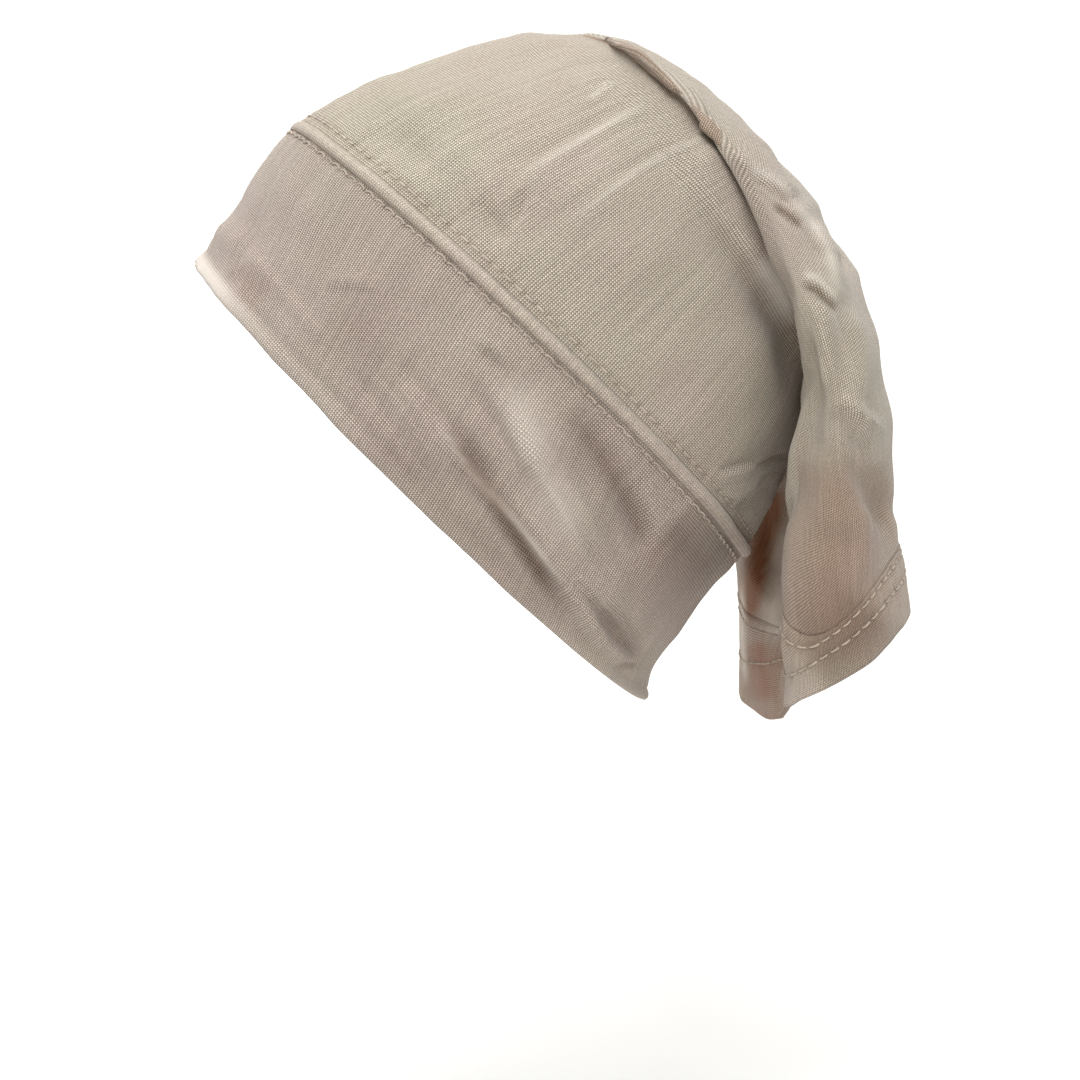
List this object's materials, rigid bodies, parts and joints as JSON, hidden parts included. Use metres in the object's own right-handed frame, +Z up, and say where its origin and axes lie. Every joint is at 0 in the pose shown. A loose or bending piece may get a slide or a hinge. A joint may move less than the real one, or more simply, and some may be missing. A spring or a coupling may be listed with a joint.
{
  "type": "hijab underscarf cap",
  "caption": "Jersey tube cap worn under a headscarf: wide doubled front band with a rolled seam, closed-fitting crown and an open flat tail hanging behind.",
  "frame": {"origin": "point inside the crown where the top of the head sits", "axes": "+X to the back of the head, -Y to the wearer's left, +Z up out of the crown; the face looks along -X"},
  "size_m": [0.2632, 0.1706, 0.2623],
  "materials": {
    "band_jersey": "doubled fine knit jersey, dusty rose beige",
    "seam_jersey": "rolled knit seam, dusty rose beige",
    "crown_jersey": "single fine knit jersey, slightly sheer, pinkish beige",
    "hem_jersey": "doubled fine knit jersey with two stitch rows, pinkish beige"
  },
  "bodies": {
    "root": {"front_band": "band_jersey", "band_seam": "seam_jersey", "crown": "crown_jersey", "tail": "crown_jersey", "tail_hem": "hem_jersey"}
  },
  "joints": []
}
